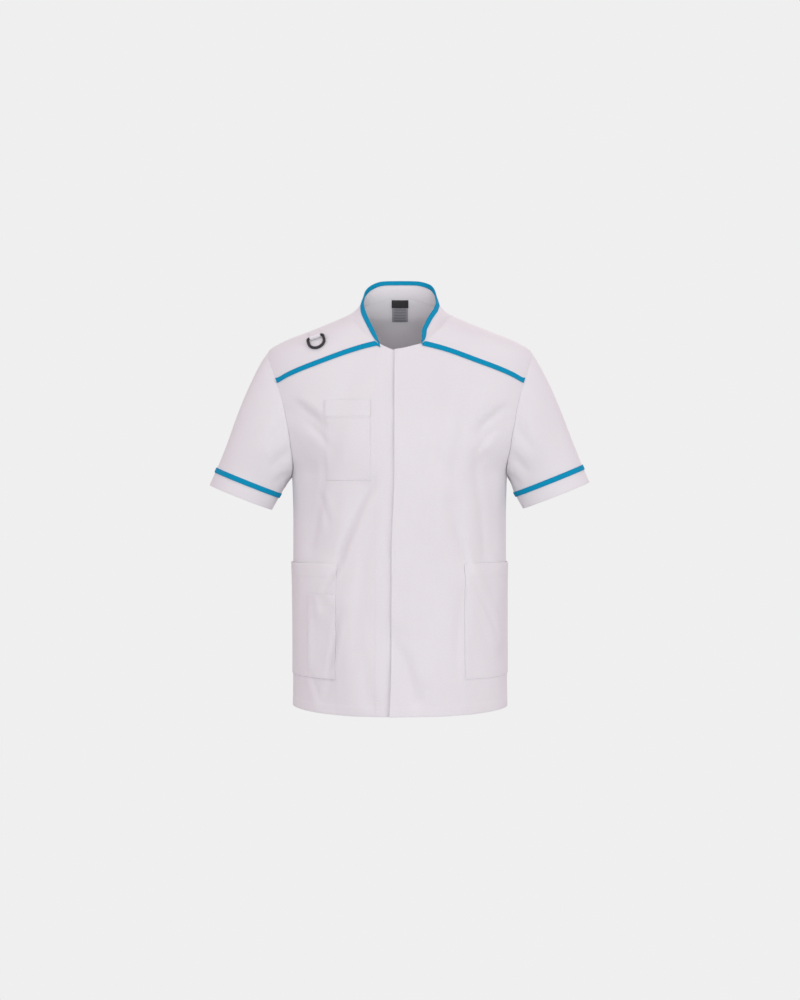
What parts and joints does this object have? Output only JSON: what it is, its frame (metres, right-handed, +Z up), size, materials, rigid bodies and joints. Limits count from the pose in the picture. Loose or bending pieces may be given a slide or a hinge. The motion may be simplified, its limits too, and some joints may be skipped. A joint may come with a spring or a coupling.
{
  "type": "medical tunic",
  "caption": "Short-sleeved medical tunic with an open stand collar, hidden front fastening, contrast trim, chest and hip pockets and a D ring on the yoke, filled out as worn.",
  "frame": {"origin": "where the wearer's shoulders hold the tunic: midway between the neck ends of the two shoulder seams", "axes": "+Z up, along the tunic's length; -Y towards the front; +X towards the wearer's left"},
  "size_m": [0.6957, 0.283, 0.7916],
  "materials": {
    "white_polycotton": "white poly-cotton twill, matt, pressed",
    "blue_trim": "blue woven trim, matt",
    "black_label": "black woven label with no lettering",
    "grey_label": null,
    "black_ring": "dark moulded nylon"
  },
  "bodies": {
    "tunic": {"front_left": "white_polycotton", "front_right": "white_polycotton", "back": "white_polycotton", "yoke_left": "white_polycotton", "yoke_right": "white_polycotton", "collar": "white_polycotton", "binding_collar": "blue_trim", "piping_yoke_left": "blue_trim", "piping_yoke_right": "blue_trim", "sleeve_left": "white_polycotton", "sleeve_right": "white_polycotton", "sleeve_band_left": "white_polycotton", "sleeve_band_right": "white_polycotton", "piping_sleeve_left": "blue_trim", "piping_sleeve_right": "blue_trim", "pocket_chest": "white_polycotton", "pocket_hip_left": "white_polycotton", "pocket_hip_right": "white_polycotton", "pocket_small": "white_polycotton", "ring_tape": "white_polycotton", "neck_label": "black_label", "care_label": "grey_label"},
    "ring": {"d_ring": "black_ring"}
  },
  "joints": [
    {"name": "ring_swing", "type": "hinge", "parent": "tunic", "child": "ring", "pos_m": [-0.15277, -0.06688, -0.04672], "axis": [-0.9449, 0.039, -0.325], "range_deg": [0, 160]}
  ]
}
